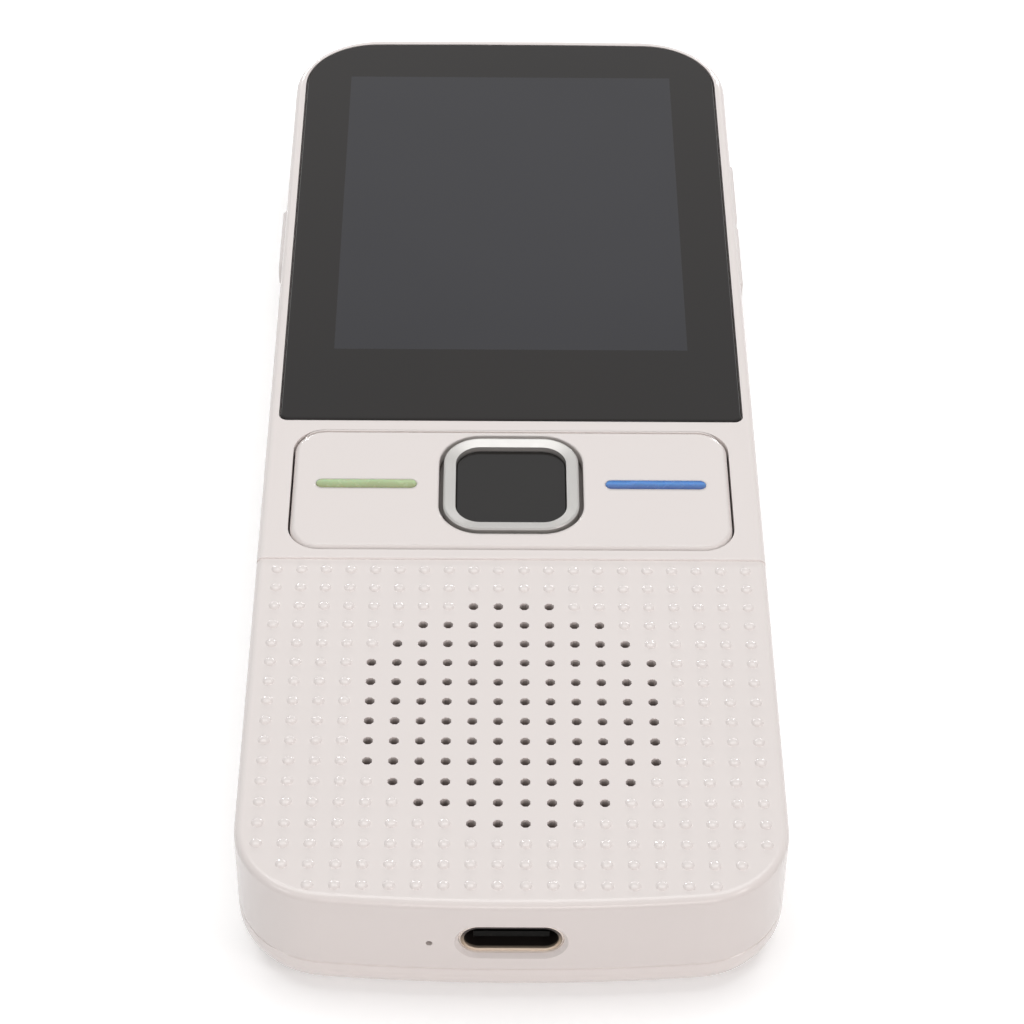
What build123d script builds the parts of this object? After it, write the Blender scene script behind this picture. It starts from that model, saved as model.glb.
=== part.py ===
from build123d import *
import math
import os

# Handheld voice translator, lying on its back.
# Origin: middle of the back face. +X right, +Y to the display end, +Z out of the front.
# All sizes are in millimetres. A name that ends in _level is a height above the back face,
# and a name that ends in _y is a place along the length.

# ---------------------------------------------------------------- housing sizes
length = 131.2
width = 49.2
thickness = 12.8
top_corner_radius = 9.7
bottom_corner_radius = 8.6
top_end_bow = 0.25
bottom_end_bow = 1.6
front_edge_radius = 0.75
back_edge_radius = 3.1
parting_chamfer = 0.12
wall = 1.5
front_wall = 1.9
back_wall = 1.5
parting_level = 3.9

lip_height = 1.0
lip_thickness = 0.7
lip_clearance = 0.1

hook_width = 4.0
hook_height = 3.2
hook_nib = 0.35
hook_nib_height = 0.9
hook_clearance = 0.15
hook_to_bottom = 21.5
hook_to_rocker = 24.2
hook_to_top = 12.5

# ---------------------------------------------------------------- textured field and grille
field_step = 0.2
field_step_radius = 0.18
field_length = 43.1
field_to_plate = 1.4
grille_to_end = 23.05
grille_thickness = 1.3
column_pitch = 2.364
row_pitch = 2.482
middle_gap_extra = 0.1
hole_diameter = 0.96
small_round_sides = 8
speaker_round_sides = 32
hole_rows = (4, 8, 10, 12, 12, 12, 12, 12, 12, 10, 8, 4)

# ---------------------------------------------------------------- display
glass_margin = 1.2
glass_thickness = 1.0
glass_proud = 0.1
glass_top_radius = 8.0
glass_bottom_radius = 0.9
glass_edge = 0.15
glass_clearance = 0.15
tape_thickness = 0.2
tape_inset = 0.4
module_side_margin = 2.0
module_top_margin = 4.1
module_bottom_margin = 2.3
module_clearance = 0.2
panel_thickness = 1.8
panel_rim = 0.4
tray_floor = 0.6
tray_rim_height = 0.8
flex_width = 16.0
flex_thickness = 0.15
flex_bend_radius = 0.9
flex_reach = 4.5

# ---------------------------------------------------------------- front keys
key_strip = 1.75
plate_side_margin = 3.0
plate_top_rim = 0.79
plate_bottom_rim = 1.99
plate_radius = 3.0
plate_thickness = 1.3
plate_proud = 0.1
plate_gap = 0.2
plate_edge = 0.35
pivot_radius = 0.6
pivot_length = 1.0
pivot_drop = 1.7
ear_thickness = 0.7
ear_foot = 0.3
pivot_end_gap = 0.1
pivot_clearance = 0.05
ear_width = 3.0
bearing_wall = 0.7
key_travel = 0.3
plunger_radius = 1.1
plunger_gap = 0.05
dome_offset_y = -4.1

button_size = 13.4
button_radius = 3.65
button_gap = 0.46
bezel_proud = 0.2
bezel_height = 1.15
bezel_width = 1.2
bezel_chamfer = 0.15
bezel_land = 0.1
bezel_slope_depth = 0.22
cap_recess = 0.7
cap_clearance = 0.05
cap_chamfer = 0.12
carrier_tab = 0.9
carrier_rim = 1.5
carrier_pocket = 0.6
stem_radius = 1.3
carrier_tab_length = 7.0
carrier_tab_thickness = 0.5
tab_clearance = 0.5

bar_inner_margin = 2.2
bar_outer_margin = 2.3
bar_width = 1.2
bar_proud = 0.1
bar_flange = 0.4
bar_flange_reach = 0.5
bar_clearance = 0.03

# ---------------------------------------------------------------- side keys
side_key_level = 6.7
side_key_height = 3.0
side_key_radius = 1.2
side_key_proud = 0.8
side_key_gap = 0.15
side_key_edge = 0.35
power_length = 11.4
power_to_top = 32.05
power_flange = 0.6
power_flange_height = 3.4
power_flange_gap = 0.05
power_flange_reach = 0.7
nub_height = 0.1
rocker_length = 22.4
rocker_to_top = 28.85
rocker_end_gap = 0.25
rocker_end_slope = 0.6
rocker_notch_depth = 0.25
rocker_notch_width = 1.8
rocker_inner = 0.6
rocker_hub_radius = 0.95
rocker_key_offset = 7.5
rocker_nub_gap = 0.3
pin_hold = 1.2
pin_radius = 0.4
pin_clearance = 0.05
lug_width = 2.4

# ---------------------------------------------------------------- boards
board_level = 8.0
board_thickness = 1.0
board_side_margin = 2.0
board_top_margin = 0.9
board_corner = 6.5
board_past_plate = 4.15
boss_radius = 1.4
boss_rib = 0.8
boss_rib_drop = 1.0
boss_edge = 0.2
upper_boss_inset_x = 6.6
upper_boss_inset_y = 2.2
screw_radius = 0.7
screw_head_radius = 1.4
screw_head_height = 0.8
screw_length = 2.4
screw_clearance = 0.15
press_gap = 0.01
port_board_width = 22.0
port_board_length = 6.4
port_board_margin = 0.3
port_boss_x = 9.0
port_boss_left_setback = 7.4
port_boss_right_setback = 4.5

# ---------------------------------------------------------------- port and microphone
port_level = 7.6
usb_width = 8.94
usb_height = 3.26
usb_length = 7.35
usb_wall = 0.3
usb_setback = 0.5
usb_gap = 0.18
port_chamfer = 0.35
tongue_width = 6.69
tongue_thickness = 0.7
tongue_length = 4.4
tongue_setback = 0.55
mic_x = -7.2
mic_drop = 0.25
mic_hole_diameter = 0.6
mic_width = 3.0
mic_depth = 2.0
boot_wall = 0.6

# ---------------------------------------------------------------- speaker
speaker_radius = 15.0
speaker_clearance = 0.3
speaker_rim = 1.2
speaker_rim_width = 1.8
basket_thickness = 0.4
coil_hole_radius = 5.0
diaphragm_thickness = 0.25
speaker_height = 4.6
magnet_radius = 7.5
seat_wall = 0.9
seat_height = 1.5
mesh_thickness = 0.2
gasket_thickness = 0.5
gasket_width = 1.6
pad_radius = 5.0
pad_thickness = 1.0
post_wall = 0.8

# ---------------------------------------------------------------- battery and components
battery_side_gap = 0.3
battery_to_can = 4.0
battery_to_board_end = 5.8
battery_thickness = 4.6
battery_radius = 1.2
battery_tape = 0.2
battery_pad_inset = 2.4
can_width = 26.0
can_length = 18.0
can_height = 1.8
can_wall = 0.2
can_to_board_top = 5.1
switch_length = 4.6
switch_depth = 3.4
switch_height = 1.7
actuator_reach = 0.5
actuator_size = 1.2
dome_radius = 2.5
dome_height = 0.6
dome_taper = 60.0
led_length = 1.6
led_width = 0.8
led_height = 0.6
chip_size = 11.0
chip_height = 1.0
memory_width = 8.0
memory_length = 6.0
chip_spacing = 10.0
antenna_width = 14.0
antenna_length = 9.0
antenna_thickness = 0.15
antenna_to_side = 5.2
antenna_to_top = 9.0
antenna_slot = 5.0
antenna_trace = 3.5
battery_plug_x = -10.0
battery_plug_to_end = 3.2
battery_plug_width = 5.0
battery_plug_height = 1.5
link_x = 8.2
link_width = 4.6
link_level = 4.5
connector_depth = 2.0
connector_margin = 0.4
rib_height = 0.6
rib_width = 0.8
rib_count = 3

# ---------------------------------------------------------------- places worked out from the sizes
front_inner_level = thickness - front_wall
field_level = thickness - field_step
glass_base_level = thickness + glass_proud - glass_thickness
ledge_level = glass_base_level - tape_thickness
panel_base_level = glass_base_level - panel_thickness
tray_base_level = panel_base_level - tray_floor

step_y = -length / 2 + field_length
plate_width = width - 2 * plate_side_margin
opening_size = button_size + 2 * button_gap
plate_length = opening_size + plate_top_rim + plate_bottom_rim
plate_bottom_y = step_y + field_to_plate
plate_top_y = plate_bottom_y + plate_length
plate_center_y = (plate_bottom_y + plate_top_y) / 2
button_y = plate_top_y - plate_top_rim - opening_size / 2
plate_base_level = thickness + plate_proud - plate_thickness
glass_width = width - 2 * glass_margin
glass_bottom_y = plate_top_y + key_strip
glass_top_y = length / 2 - glass_margin
module_width = glass_width - 2 * module_side_margin
module_bottom_y = glass_bottom_y + module_bottom_margin
module_top_y = glass_top_y - module_top_margin
module_length = module_top_y - module_bottom_y
module_center_y = (module_bottom_y + module_top_y) / 2

bar_length = (plate_width - opening_size) / 2 - bar_inner_margin - bar_outer_margin
bar_center_x = opening_size / 2 + bar_inner_margin + bar_length / 2
pivot_level = plate_base_level - pivot_drop
dome_y = button_y + dome_offset_y
plunger_level = board_level + dome_height + key_travel + plunger_gap
bezel_level = thickness + plate_proud + bezel_proud
carrier_level = bezel_level - bezel_height
tab_level = plate_base_level - tab_clearance
carrier_base_level = tab_level - carrier_tab_thickness

grille_y = -length / 2 + grille_to_end
grille_inner_level = field_level - grille_thickness
seat_radius = speaker_radius + speaker_clearance
mesh_level = grille_inner_level - mesh_thickness
gasket_level = mesh_level - gasket_thickness
magnet_level = gasket_level - speaker_height
pad_level = magnet_level - pad_thickness

inner_x = width / 2 - wall
inner_y = length / 2 - wall
lip_inset = wall + lip_clearance + lip_thickness
board_bottom_level = board_level - board_thickness
board_half_width = inner_x - board_side_margin
board_top_y = inner_y - board_top_margin
board_bottom_y = plate_bottom_y - board_past_plate
power_y = length / 2 - power_to_top
rocker_y = length / 2 - rocker_to_top
hook_spots_y = (-length / 2 + hook_to_bottom, plate_center_y, rocker_y - hook_to_rocker, length / 2 - hook_to_top)
side_key_face_x = width / 2 + side_key_proud
switch_level = board_bottom_level - switch_height / 2
actuator_x = board_half_width + actuator_reach
rocker_inner_x = inner_x - rocker_inner
pin_x = rocker_inner_x
rocker_top_level = side_key_level + side_key_height / 2 + side_key_gap
rocker_low_level = side_key_level - side_key_height / 2 - side_key_gap
pin_length = rocker_top_level + pin_hold - parting_level

usb_base_level = port_level - usb_height / 2
port_board_level = usb_base_level
bottom_bow_radius = (width ** 2 / 4 + bottom_end_bow ** 2) / (2 * bottom_end_bow)
port_board_setback = bottom_bow_radius - math.sqrt(bottom_bow_radius ** 2 - port_board_width ** 2 / 4)
port_board_front_y = -length / 2 + lip_inset + port_board_setback + port_board_margin
mic_level = port_level - mic_drop
mic_height = mic_level - port_board_level
can_y = board_top_y - can_to_board_top - can_length / 2
battery_level = board_bottom_level - battery_tape - battery_thickness
battery_width = 2 * (board_half_width - switch_depth - battery_side_gap)
battery_low_y = board_bottom_y + battery_to_board_end
battery_length = can_y - can_length / 2 - battery_to_can - battery_low_y
battery_y = battery_low_y + battery_length / 2
battery_plug_y = board_bottom_y + battery_plug_to_end
antenna_x = -inner_x + antenna_to_side + antenna_width / 2
antenna_y = length / 2 - antenna_to_top - antenna_length / 2

upper_boss_spots = [(side * (inner_x - upper_boss_inset_x), inner_y - upper_boss_inset_y) for side in (-1, 1)]
middle_boss_y = (module_bottom_y - module_clearance + plate_top_y + plate_gap) / 2
side_boss_x = board_half_width - boss_radius - boss_edge
lower_boss_y = board_bottom_y + boss_radius + boss_edge
middle_boss_spots = [(-side_boss_x, middle_boss_y), (side_boss_x, middle_boss_y)]
lower_boss_spots = [(-side_boss_x, lower_boss_y), (side_boss_x, lower_boss_y)]
board_boss_spots = upper_boss_spots + middle_boss_spots + lower_boss_spots
port_boss_spots = [(-port_boss_x, -length / 2 + port_boss_left_setback),
                   (port_boss_x, -length / 2 + port_boss_right_setback)]

end_plane = Plane(origin=(0, -length / 2, port_level), x_dir=(1, 0, 0), z_dir=(0, -1, 0))


def side_plane(side, place_y):
    """Plane on the outer face of a side wall, at the height of the side keys."""
    return Plane(origin=(side * width / 2, place_y, side_key_level), x_dir=(0, 1, 0), z_dir=(side, 0, 0))


def column_x(index, count):
    """Place across the width of one column in a row of the given count."""
    step = index - (count - 1) / 2
    return step * column_pitch + math.copysign(middle_gap_extra / 2, step)


def row_y(row):
    """Place along the length of a row, counted from the top row of holes."""
    return grille_y + ((len(hole_rows) - 1) / 2 - row) * row_pitch


def row_spots(row, count):
    """All the places in one row of the field."""
    return [(column_x(index, count), row_y(row)) for index in range(count)]


def grille_spots():
    """Places of the sound holes."""
    spots = []
    for row, count in enumerate(hole_rows):
        spots += row_spots(row, count)
    return spots


def small_round(radius, mode=Mode.ADD):
    """Outline of a small round hole or shank, drawn with a few flats."""
    return RegularPolygon(radius, small_round_sides, rotation=180 / small_round_sides, mode=mode)


def speaker_round(radius, mode=Mode.ADD):
    """Outline of a round piece of the speaker, drawn with short flats."""
    return RegularPolygon(radius, speaker_round_sides, mode=mode)


def housing_outline():
    """Outline of the housing: straight sides, gently bowed ends and round corners."""
    with BuildSketch() as outline:
        with BuildLine():
            top_corner_y = length / 2 - top_end_bow
            low_corner_y = bottom_end_bow - length / 2
            ThreePointArc((-width / 2, top_corner_y), (0, length / 2), (width / 2, top_corner_y))
            Line((width / 2, top_corner_y), (width / 2, low_corner_y))
            ThreePointArc((width / 2, low_corner_y), (0, -length / 2), (-width / 2, low_corner_y))
            Line((-width / 2, low_corner_y), (-width / 2, top_corner_y))
        make_face()
        fillet(outline.vertices().group_by(Axis.Y)[-1], top_corner_radius)
        fillet(outline.vertices().group_by(Axis.Y)[0], bottom_corner_radius)
    return outline.sketch


def housing_inset(inset):
    """Outline of the housing, drawn in by the given amount all round."""
    with BuildSketch() as outline:
        add(housing_outline())
        offset(amount=-inset)
    return outline.sketch


def housing_block(level):
    """Solid between the parting joint and a front face at the given level."""
    with BuildPart() as block:
        with BuildSketch(Plane.XY.offset(parting_level)):
            add(housing_outline())
        extrude(amount=level - parting_level)
        fillet(block.faces().sort_by(Axis.Z)[-1].edges(), front_edge_radius)
        chamfer(block.faces().sort_by(Axis.Z)[0].edges(), parting_chamfer)
    return block.part


def glass_outline(grow):
    """Outline of the cover glass, whose top edge and corners follow the housing."""
    with BuildSketch() as outline:
        with BuildLine():
            edge_x = glass_width / 2 + grow
            corner_y = glass_top_y + grow - top_end_bow
            low_y = glass_bottom_y - grow
            ThreePointArc((-edge_x, corner_y), (0, glass_top_y + grow), (edge_x, corner_y))
            Polyline((edge_x, corner_y), (edge_x, low_y), (-edge_x, low_y), (-edge_x, corner_y))
        make_face()
        fillet(outline.vertices().group_by(Axis.Y)[-1], glass_top_radius + grow)
        fillet(outline.vertices().group_by(Axis.Y)[0], glass_bottom_radius)
    return outline.sketch


def board_outline():
    """Outline of the main board."""
    with BuildSketch() as outline:
        with Locations((0, (board_top_y + board_bottom_y) / 2)):
            Rectangle(2 * board_half_width, board_top_y - board_bottom_y)
        fillet(outline.vertices().group_by(Axis.Y)[-1], board_corner)
        fillet(outline.vertices().group_by(Axis.Y)[0], boss_radius)
    return outline.sketch


def write(piece, name):
    """Label a finished piece and write its file."""
    piece.part.label = name
    export_step(piece.part, f"parts/{name}.step")


os.makedirs("parts", exist_ok=True)

# ---------------------------------------------------------------- front shell
key_face_block = housing_block(thickness)
field_block = housing_block(field_level)
glass_recess = glass_outline(glass_clearance)

with BuildPart() as front_shell:
    add(key_face_block)
    split(bisect_by=Plane(origin=(0, step_y, 0), x_dir=(1, 0, 0), z_dir=(0, 1, 0)), keep=Keep.TOP)
    add(field_block)

    # Rounding along the step down to the field.
    with BuildSketch(Plane.YZ):
        with Locations((step_y, thickness)):
            Rectangle(field_step_radius, field_step_radius, align=(Align.MIN, Align.MAX))
        with Locations((step_y + field_step_radius, thickness - field_step_radius)):
            Circle(field_step_radius, mode=Mode.SUBTRACT)
    extrude(amount=width / 2, both=True, mode=Mode.SUBTRACT)

    # Inside of the shell, open at the parting joint.
    with BuildSketch(Plane.XY.offset(parting_level)):
        add(housing_inset(wall))
    extrude(amount=front_inner_level - parting_level, mode=Mode.SUBTRACT)

    # Recess and ledge for the cover glass, and the opening for the display module behind it.
    with BuildSketch(Plane.XY.offset(ledge_level)):
        add(glass_recess)
    extrude(amount=thickness, mode=Mode.SUBTRACT)
    with BuildSketch(Plane.XY.offset(front_inner_level)):
        with Locations((0, module_center_y)):
            Rectangle(module_width + 2 * module_clearance, module_length + 2 * module_clearance)
    extrude(amount=front_wall, mode=Mode.SUBTRACT)

    # Opening for the key plate.
    with BuildSketch(Plane.XY.offset(front_inner_level)):
        with Locations((0, plate_center_y)):
            RectangleRounded(plate_width + 2 * plate_gap, plate_length + 2 * plate_gap,
                             plate_radius + plate_gap)
    extrude(amount=front_wall, mode=Mode.SUBTRACT)

    # Speaker seat: a well in the front wall and a ring round the speaker's rim.
    with BuildSketch(Plane.XY.offset(front_inner_level - seat_height)):
        with Locations((0, grille_y)):
            Circle(seat_radius + seat_wall)
    extrude(amount=seat_height)
    with BuildSketch(Plane.XY.offset(front_inner_level - seat_height)):
        with Locations((0, grille_y)):
            Circle(seat_radius)
    extrude(amount=grille_inner_level - front_inner_level + seat_height, mode=Mode.SUBTRACT)

    # Screw bosses for the main board and for the port board, each tied to the nearest wall by a rib.
    with BuildSketch(Plane.XY.offset(board_level)):
        with Locations(*board_boss_spots):
            small_round(boss_radius)
    extrude(amount=front_inner_level - board_level)
    with BuildSketch(Plane.XY.offset(board_level + boss_rib_drop)):
        for spot_x, spot_y in middle_boss_spots + lower_boss_spots:
            with Locations(((math.copysign(inner_x, spot_x) + spot_x) / 2, spot_y)):
                Rectangle(inner_x - abs(spot_x) + wall / 2, boss_rib)
    extrude(amount=front_inner_level - board_level - boss_rib_drop)
    with BuildSketch(Plane.XY.offset(port_board_level)):
        with Locations(*port_boss_spots):
            small_round(boss_radius)
    extrude(amount=front_inner_level - port_board_level)
    with BuildSketch(Plane.XY.offset(board_level)):
        with Locations(*board_boss_spots):
            small_round(screw_radius + press_gap)
    extrude(amount=screw_length, mode=Mode.SUBTRACT)
    with BuildSketch(Plane.XY.offset(port_board_level)):
        with Locations(*port_boss_spots):
            small_round(screw_radius + press_gap)
    extrude(amount=screw_length, mode=Mode.SUBTRACT)

    # Bearings for the key plate's pivots, at the middle of its two long edges.
    bearing_bottom = pivot_level - pivot_radius - bearing_wall
    bearing_depth = pivot_length + bearing_wall
    bearing_top_y = plate_top_y + plate_gap + bearing_depth / 2
    bearing_low_y = plate_bottom_y - plate_gap - bearing_depth / 2
    with BuildSketch(Plane.XY.offset(bearing_bottom)):
        with Locations((0, bearing_top_y), (0, bearing_low_y)):
            Rectangle(ear_width, bearing_depth)
    extrude(amount=front_inner_level - bearing_bottom)
    with BuildSketch(Plane.XZ.offset(-plate_center_y)):
        with Locations((0, pivot_level)):
            Circle(pivot_radius + pivot_clearance)
    extrude(amount=plate_length / 2 + plate_gap + pivot_length, both=True, mode=Mode.SUBTRACT)

    # Slots for the power key and the volume rocker.
    with BuildSketch(side_plane(-1, power_y)):
        RectangleRounded(power_length + 2 * side_key_gap, side_key_height + 2 * side_key_gap,
                         side_key_radius + side_key_gap)
    extrude(amount=-wall, mode=Mode.SUBTRACT)
    with BuildSketch(side_plane(1, rocker_y)):
        Rectangle(rocker_length + 2 * rocker_end_gap, side_key_height + 2 * side_key_gap)
    extrude(amount=-wall, mode=Mode.SUBTRACT)

    # Lugs above and below the rocker, which hold its pin.
    lug_depth = inner_x - pin_x + rocker_hub_radius
    with BuildSketch(Plane.XY.offset(rocker_top_level)):
        with Locations((inner_x, rocker_y)):
            Rectangle(lug_depth, lug_width, align=(Align.MAX, Align.CENTER))
    extrude(amount=front_inner_level - rocker_top_level)
    with BuildSketch(Plane.XY.offset(parting_level)):
        with Locations((inner_x, rocker_y)):
            Rectangle(lug_depth, lug_width, align=(Align.MAX, Align.CENTER))
    extrude(amount=rocker_low_level - parting_level)
    with BuildSketch(Plane.XY.offset(parting_level)):
        with Locations((pin_x, rocker_y)):
            Circle(pin_radius + press_gap)
    extrude(amount=pin_length, mode=Mode.SUBTRACT)

    # Pockets for the hooks of the back cover.
    hook_top_level = parting_level + hook_height
    for side in (-1, 1):
        with BuildSketch(Plane.XY.offset(hook_top_level - hook_nib_height - hook_clearance)):
            with Locations(*[(side * inner_x, spot_y) for spot_y in hook_spots_y]):
                Rectangle(2 * hook_nib, hook_width + 2 * hook_clearance)
        extrude(amount=hook_nib_height + 2 * hook_clearance, mode=Mode.SUBTRACT)

    # Charging port and microphone hole in the bottom end.
    with BuildSketch(end_plane):
        SlotOverall(usb_width + 2 * usb_gap, usb_height + 2 * usb_gap)
    extrude(amount=-lip_inset, mode=Mode.SUBTRACT)
    end_face = front_shell.faces().filter_by(GeomType.CYLINDER).sort_by(Axis.Y)[0]
    chamfer(end_face.inner_wires()[0].edges(), port_chamfer)
    with BuildSketch(end_plane):
        with Locations((mic_x, -mic_drop)):
            Circle(mic_hole_diameter / 2)
    extrude(amount=-lip_inset, mode=Mode.SUBTRACT)

    # Sound holes.
    with BuildSketch(Plane.XY.offset(grille_inner_level)):
        with Locations(*grille_spots()):
            small_round(hole_diameter / 2)
    extrude(amount=grille_thickness, mode=Mode.SUBTRACT)
write(front_shell, "front_shell")

# ---------------------------------------------------------------- back cover
with BuildPart() as back_cover:
    with BuildSketch():
        add(housing_outline())
    extrude(amount=parting_level)
    fillet(back_cover.faces().sort_by(Axis.Z)[0].edges(), back_edge_radius)
    chamfer(back_cover.faces().sort_by(Axis.Z)[-1].edges(), parting_chamfer)

    # Lip that stands inside the front shell, then the hollow of the cover.
    with BuildSketch(Plane.XY.offset(parting_level)):
        add(housing_inset(wall + lip_clearance))
    extrude(amount=lip_height)
    with BuildSketch(Plane.XY.offset(back_wall)):
        add(housing_inset(lip_inset))
    extrude(amount=parting_level + lip_height - back_wall, mode=Mode.SUBTRACT)

    # Gap in the lip for the lower lug of the rocker.
    with BuildSketch(Plane.XY.offset(parting_level)):
        with Locations((inner_x, rocker_y)):
            Rectangle(2 * lip_inset, lug_width + 4 * lip_clearance)
    extrude(amount=lip_height, mode=Mode.SUBTRACT)

    # Snap hooks on the long sides, each with a wedge nib that points outwards.
    nib_level = hook_top_level - hook_nib_height
    for side in (-1, 1):
        lip_outer_x = side * (inner_x - lip_clearance)
        for spot_y in hook_spots_y:
            with BuildSketch(Plane.XZ.offset(-spot_y)):
                with BuildLine():
                    Polyline((lip_outer_x, parting_level),
                             (lip_outer_x, nib_level),
                             (lip_outer_x + side * hook_nib, nib_level),
                             (lip_outer_x, hook_top_level),
                             (lip_outer_x - side * lip_thickness, hook_top_level),
                             (lip_outer_x - side * lip_thickness, parting_level),
                             close=True)
                make_face()
            extrude(amount=hook_width / 2, both=True)

    # Ribs that stiffen the floor and keep the battery off it, and the ring that carries the speaker pad.
    with BuildSketch(Plane.XY.offset(back_wall)):
        with Locations((0, battery_y)):
            with GridLocations(battery_width / rib_count, 0, rib_count, 1):
                Rectangle(rib_width, battery_length)
            with GridLocations(0, battery_length / rib_count, 1, rib_count):
                Rectangle(battery_width, rib_width)
    extrude(amount=rib_height)
    with BuildSketch(Plane.XY.offset(back_wall)):
        with Locations((0, grille_y)):
            small_round(pad_radius)
            small_round(pad_radius - post_wall, mode=Mode.SUBTRACT)
    extrude(amount=pad_level - back_wall)
write(back_cover, "back_cover")

# ---------------------------------------------------------------- display
with BuildPart() as cover_glass:
    with BuildSketch(Plane.XY.offset(glass_base_level)):
        add(glass_outline(0))
    extrude(amount=glass_thickness)
    chamfer(cover_glass.faces().sort_by(Axis.Z)[-1].edges(), glass_edge)
write(cover_glass, "cover_glass")

tape_outline = glass_outline(-tape_inset)
with BuildPart() as glass_tape:
    with BuildSketch(Plane.XY.offset(ledge_level)):
        add(tape_outline)
        with Locations((0, module_center_y)):
            Rectangle(module_width + 2 * module_clearance, module_length + 2 * module_clearance,
                      mode=Mode.SUBTRACT)
    extrude(amount=tape_thickness)
write(glass_tape, "glass_tape")

panel_width = module_width - 2 * panel_rim
panel_length = module_length - 2 * panel_rim
with BuildPart() as display_panel:
    with BuildSketch(Plane.XY.offset(panel_base_level)):
        with Locations((0, module_center_y)):
            Rectangle(panel_width, panel_length)
    extrude(amount=panel_thickness)
write(display_panel, "display_panel")

flex_level = panel_base_level + tray_rim_height / 2
with BuildPart() as backlight_tray:
    with BuildSketch(Plane.XY.offset(tray_base_level)):
        with Locations((0, module_center_y)):
            Rectangle(module_width, module_length)
    extrude(amount=tray_floor + tray_rim_height)
    with BuildSketch(Plane.XY.offset(panel_base_level)):
        with Locations((0, module_center_y)):
            Rectangle(panel_width, panel_length)
    extrude(amount=tray_rim_height, mode=Mode.SUBTRACT)
    # Notch in the rim where the flex leaves the panel.
    with BuildSketch(Plane.XY.offset(flex_level - flex_thickness)):
        with Locations((0, module_bottom_y)):
            Rectangle(flex_width + 2 * module_clearance, 2 * panel_rim)
    extrude(amount=tray_rim_height, mode=Mode.SUBTRACT)
write(backlight_tray, "backlight_tray")

# The flex leaves the panel's lower edge, folds under the tray and ends in its connector on the main board.
panel_bottom_y = module_bottom_y + panel_rim
flex_fold_y = module_bottom_y - module_clearance
flex_low_level = flex_level - 2 * flex_bend_radius
flex_end_y = panel_bottom_y + flex_reach
with BuildPart() as display_flex:
    with BuildSketch(Plane.YZ):
        with BuildLine() as flex_path:
            Line((panel_bottom_y, flex_level), (flex_fold_y, flex_level))
            fold_middle = (flex_fold_y - flex_bend_radius, flex_level - flex_bend_radius)
            ThreePointArc((flex_fold_y, flex_level), fold_middle, (flex_fold_y, flex_low_level))
            Line((flex_fold_y, flex_low_level), (flex_end_y, flex_low_level))
            offset(amount=flex_thickness, side=Side.RIGHT)
        make_face()
    extrude(amount=flex_width / 2, both=True)
write(display_flex, "display_flex")

connector_height = flex_low_level - board_level + connector_margin
with BuildPart() as display_connector:
    with BuildSketch(Plane.XY.offset(board_level)):
        with Locations((0, flex_end_y - connector_depth / 2)):
            Rectangle(flex_width + 2 * connector_margin, connector_depth, align=(Align.CENTER, Align.MIN))
    extrude(amount=connector_height)
    with BuildSketch(Plane.XY.offset(flex_low_level - 2 * flex_thickness)):
        with Locations((0, flex_end_y - connector_depth / 2)):
            Rectangle(flex_width + connector_margin, connector_depth + connector_margin / 2)
    extrude(amount=3 * flex_thickness, mode=Mode.SUBTRACT)
write(display_connector, "display_connector")

# ---------------------------------------------------------------- key plate with its two light bars
with BuildPart() as key_plate:
    with BuildSketch(Plane.XY.offset(plate_base_level)):
        with Locations((0, plate_center_y)):
            RectangleRounded(plate_width, plate_length, plate_radius)
        with Locations((0, button_y)):
            RectangleRounded(opening_size, opening_size, button_radius + button_gap, mode=Mode.SUBTRACT)
        with Locations((-bar_center_x, button_y), (bar_center_x, button_y)):
            SlotOverall(bar_length + 2 * bar_clearance, bar_width + 2 * bar_clearance, mode=Mode.SUBTRACT)
    extrude(amount=plate_thickness)
    chamfer(key_plate.faces().sort_by(Axis.Z)[-1].outer_wire().edges(), plate_edge)

    # Plungers over the snap domes.
    with BuildSketch(Plane.XY.offset(plunger_level)):
        with Locations((-bar_center_x, dome_y), (bar_center_x, dome_y)):
            small_round(plunger_radius)
    extrude(amount=plate_base_level - plunger_level)

    # Ears at the middle of both long edges, each with a pivot pin that points outwards.
    ear_level = pivot_level - pivot_radius - ear_foot
    with BuildSketch(Plane.XY.offset(ear_level)):
        with Locations((0, plate_top_y)):
            Rectangle(ear_width, ear_thickness, align=(Align.CENTER, Align.MAX))
        with Locations((0, plate_bottom_y)):
            Rectangle(ear_width, ear_thickness, align=(Align.CENTER, Align.MIN))
    extrude(amount=plate_base_level - ear_level)
    for edge_y, side in ((plate_top_y, 1), (plate_bottom_y, -1)):
        with BuildSketch(Plane(origin=(0, edge_y, pivot_level), x_dir=(1, 0, 0), z_dir=(0, side, 0))):
            Circle(pivot_radius)
        extrude(amount=plate_gap + pivot_length - pivot_end_gap)
write(key_plate, "key_plate")

for bar_name, bar_x in (("green_light_bar", -bar_center_x), ("blue_light_bar", bar_center_x)):
    with BuildPart() as light_bar:
        with BuildSketch(Plane.XY.offset(plate_base_level)):
            with Locations((bar_x, button_y)):
                SlotOverall(bar_length, bar_width)
        extrude(amount=plate_thickness + bar_proud)
        chamfer(light_bar.faces().sort_by(Axis.Z)[-1].edges(), bar_proud)
        with BuildSketch(Plane.XY.offset(plate_base_level - bar_flange)):
            with Locations((bar_x, button_y)):
                Rectangle(bar_length + 2 * bar_flange_reach, bar_width + 2 * bar_flange_reach)
        extrude(amount=bar_flange)
    write(light_bar, bar_name)

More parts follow.
